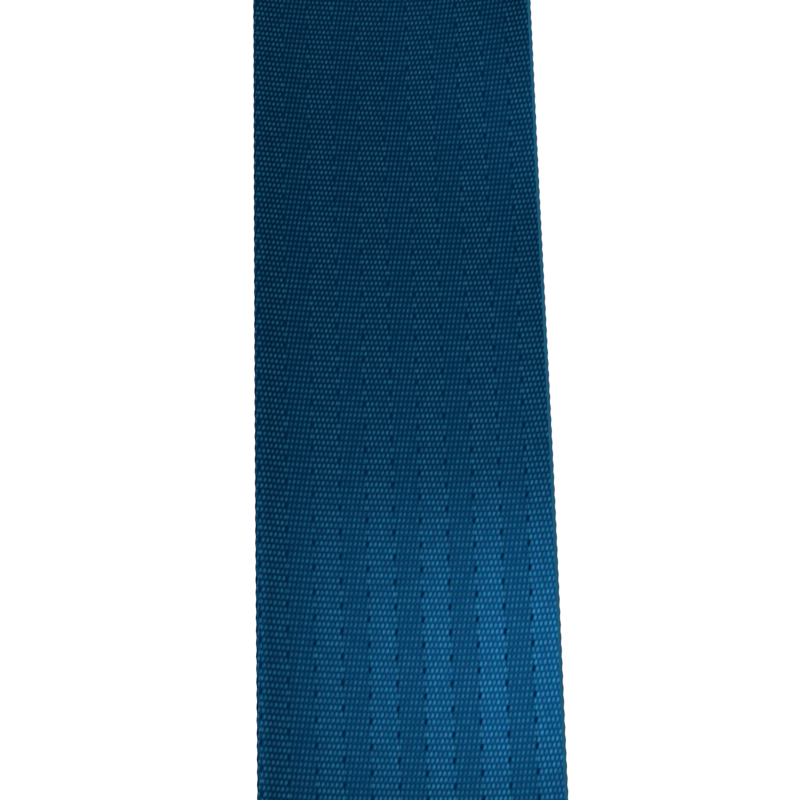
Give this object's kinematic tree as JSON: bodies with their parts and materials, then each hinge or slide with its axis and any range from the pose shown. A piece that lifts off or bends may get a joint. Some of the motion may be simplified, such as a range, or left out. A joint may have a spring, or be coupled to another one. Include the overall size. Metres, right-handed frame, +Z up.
{
  "type": "racing harness",
  "caption": "Wide blue herringbone-woven belts with sewn loops, tilt-lock adjusters, slides and bolt-in brackets, joined by a rotary quick-release buckle.",
  "frame": {"origin": "middle of the buckle's underside, on the surface that the harness lies on", "axes": "+Z up out of the buckle's knob, +Y along the middle of the two shoulder belts, +X to the side of the right lap belt"},
  "size_m": [1.0544, 1.0983, 0.0414],
  "materials": {
    "blue_webbing": "woven polyester, slight sheen",
    "plated_steel": "zinc-plated, satin",
    "satin_aluminium": "bead-blasted, clear anodised",
    "black_aluminium": "black anodised",
    "black_steel": "black oxide",
    "spring_steel": "drawn wire",
    "black_rubber": "matt"
  },
  "bodies": {
    "buckle": {"base_pad": "black_rubber", "base_plate": "plated_steel", "housing": "satin_aluminium", "housing_screws": "black_steel", "fixed_tongue_rivets": "plated_steel", "return_spring": "spring_steel", "left_lap_tongue": "plated_steel"},
    "knob": {"release_knob": "black_aluminium", "knob_screw": "black_steel", "cam_hub": "plated_steel"},
    "latch": {"latch_plate": "plated_steel"},
    "left_lap_belt": {"left_lap_front_loop": "blue_webbing", "left_lap_webbing": "blue_webbing", "left_lap_slide": "black_steel"},
    "left_lap_adjuster": {"left_lap_adjuster_frame": "black_steel"},
    "left_lap_grip": {"left_lap_grip_bar": "plated_steel", "left_lap_grip_wrap": "blue_webbing"},
    "left_lap_bracket": {"left_lap_bracket": "plated_steel"},
    "right_lap_tongue": {"right_lap_tongue": "plated_steel"},
    "right_lap_belt": {"right_lap_front_loop": "blue_webbing", "right_lap_webbing": "blue_webbing", "right_lap_slide": "black_steel"},
    "right_lap_adjuster": {"right_lap_adjuster_frame": "black_steel"},
    "right_lap_grip": {"right_lap_grip_bar": "plated_steel", "right_lap_grip_wrap": "blue_webbing"},
    "right_lap_bracket": {"right_lap_bracket": "plated_steel"},
    "left_shoulder_tongue": {"left_shoulder_tongue": "plated_steel"},
    "left_shoulder_belt": {"left_shoulder_front_loop": "blue_webbing", "left_shoulder_webbing": "blue_webbing", "left_shoulder_slide": "black_steel"},
    "left_shoulder_adjuster": {"left_shoulder_adjuster_frame": "black_steel"},
    "left_shoulder_grip": {"left_shoulder_grip_bar": "plated_steel", "left_shoulder_grip_wrap": "blue_webbing"},
    "left_shoulder_bracket": {"left_shoulder_bracket": "plated_steel"},
    "right_shoulder_tongue": {"right_shoulder_tongue": "plated_steel"},
    "right_shoulder_belt": {"right_shoulder_front_loop": "blue_webbing", "right_shoulder_webbing": "blue_webbing", "right_shoulder_slide": "black_steel"},
    "right_shoulder_adjuster": {"right_shoulder_adjuster_frame": "black_steel"},
    "right_shoulder_grip": {"right_shoulder_grip_bar": "plated_steel", "right_shoulder_grip_wrap": "blue_webbing"},
    "right_shoulder_bracket": {"right_shoulder_bracket": "plated_steel"},
    "crotch_tongue": {"crotch_tongue": "plated_steel"},
    "crotch_belt": {"crotch_webbing": "blue_webbing", "crotch_slide": "black_steel"},
    "crotch_bracket": {"crotch_bracket": "plated_steel"}
  },
  "joints": [
    {"name": "knob_turn", "type": "hinge", "parent": "buckle", "child": "knob", "pos_m": [0, 0, 0.03], "axis": [0, 0, 1], "range_deg": [0, 60]},
    {"name": "latch_lift", "type": "slide", "parent": "buckle", "child": "latch", "axis": [0, 0, 1], "range_m": [-0.0046, 0], "deforming": ["return_spring"]},
    {"name": "left_lap_swing", "type": "hinge", "parent": "buckle", "child": "left_lap_belt", "pos_m": [-0.09578, -0.01176, 0.0087], "axis": [-0.1219, 0.9925, 0], "range_deg": [0, 75]},
    {"name": "left_lap_adjuster_tilt", "type": "hinge", "parent": "left_lap_belt", "child": "left_lap_adjuster", "pos_m": [-0.17866, -0.02194, 0.0087], "axis": [-0.1219, 0.9925, 0], "range_deg": [0, 35]},
    {"name": "left_lap_grip_slide", "type": "slide", "parent": "left_lap_adjuster", "child": "left_lap_grip", "axis": [0.9925, 0.1219, 0], "range_m": [0, 0.0025]},
    {"name": "left_lap_bracket_swivel", "type": "hinge", "parent": "left_lap_belt", "child": "left_lap_bracket", "pos_m": [-0.45856, -0.0563, 0.0062], "axis": [-0.1219, 0.9925, 0], "range_deg": [0, 110]},
    {"name": "right_lap_release", "type": "slide", "parent": "buckle", "child": "right_lap_tongue", "axis": [0.9925, -0.1219, 0], "range_m": [0, 0.032]},
    {"name": "right_lap_swing", "type": "hinge", "parent": "right_lap_tongue", "child": "right_lap_belt", "pos_m": [0.09578, -0.01176, 0.0087], "axis": [-0.1219, -0.9925, 0], "range_deg": [0, 75]},
    {"name": "right_lap_adjuster_tilt", "type": "hinge", "parent": "right_lap_belt", "child": "right_lap_adjuster", "pos_m": [0.17866, -0.02194, 0.0087], "axis": [-0.1219, -0.9925, 0], "range_deg": [0, 35]},
    {"name": "right_lap_grip_slide", "type": "slide", "parent": "right_lap_adjuster", "child": "right_lap_grip", "axis": [-0.9925, 0.1219, 0], "range_m": [0, 0.0025]},
    {"name": "right_lap_bracket_swivel", "type": "hinge", "parent": "right_lap_belt", "child": "right_lap_bracket", "pos_m": [0.45856, -0.0563, 0.0062], "axis": [-0.1219, -0.9925, 0], "range_deg": [0, 110]},
    {"name": "left_shoulder_release", "type": "slide", "parent": "buckle", "child": "left_shoulder_tongue", "axis": [-0.5299, 0.848, 0], "range_m": [0, 0.032]},
    {"name": "left_shoulder_swing", "type": "hinge", "parent": "left_shoulder_tongue", "child": "left_shoulder_belt", "pos_m": [-0.05114, 0.08184, 0.0087], "axis": [0.848, 0.5299, 0], "range_deg": [0, 75]},
    {"name": "left_shoulder_adjuster_tilt", "type": "hinge", "parent": "left_shoulder_belt", "child": "left_shoulder_adjuster", "pos_m": [-0.09539, 0.15265, 0.0087], "axis": [0.848, 0.5299, 0], "range_deg": [0, 35]},
    {"name": "left_shoulder_grip_slide", "type": "slide", "parent": "left_shoulder_adjuster", "child": "left_shoulder_grip", "axis": [0.5299, -0.848, 0], "range_m": [0, 0.0025]},
    {"name": "left_shoulder_bracket_swivel", "type": "hinge", "parent": "left_shoulder_belt", "child": "left_shoulder_bracket", "pos_m": [-0.4038, 0.64621, 0.0062], "axis": [0.848, 0.5299, 0], "range_deg": [0, 110]},
    {"name": "right_shoulder_release", "type": "slide", "parent": "buckle", "child": "right_shoulder_tongue", "axis": [0.5299, 0.848, 0], "range_m": [0, 0.032]},
    {"name": "right_shoulder_swing", "type": "hinge", "parent": "right_shoulder_tongue", "child": "right_shoulder_belt", "pos_m": [0.05114, 0.08184, 0.0087], "axis": [0.848, -0.5299, 0], "range_deg": [0, 75]},
    {"name": "right_shoulder_adjuster_tilt", "type": "hinge", "parent": "right_shoulder_belt", "child": "right_shoulder_adjuster", "pos_m": [0.09539, 0.15265, 0.0087], "axis": [0.848, -0.5299, 0], "range_deg": [0, 35]},
    {"name": "right_shoulder_grip_slide", "type": "slide", "parent": "right_shoulder_adjuster", "child": "right_shoulder_grip", "axis": [-0.5299, -0.848, 0], "range_m": [0, 0.0025]},
    {"name": "right_shoulder_bracket_swivel", "type": "hinge", "parent": "right_shoulder_belt", "child": "right_shoulder_bracket", "pos_m": [0.4038, 0.64621, 0.0062], "axis": [0.848, -0.5299, 0], "range_deg": [0, 110]},
    {"name": "crotch_release", "type": "slide", "parent": "buckle", "child": "crotch_tongue", "axis": [0, -1, 0], "range_m": [0, 0.032]},
    {"name": "crotch_swing", "type": "hinge", "parent": "crotch_tongue", "child": "crotch_belt", "pos_m": [0, -0.0965, 0.0087], "axis": [-1, 0, 0], "range_deg": [0, 75]},
    {"name": "crotch_bracket_swivel", "type": "hinge", "parent": "crotch_belt", "child": "crotch_bracket", "pos_m": [0, -0.322, 0.0062], "axis": [-1, 0, 0], "range_deg": [0, 110]}
  ],
  "couplings": [
    {"joint": "latch_lift", "follows": "knob_turn", "m_per_rad": -0.0043927}
  ]
}
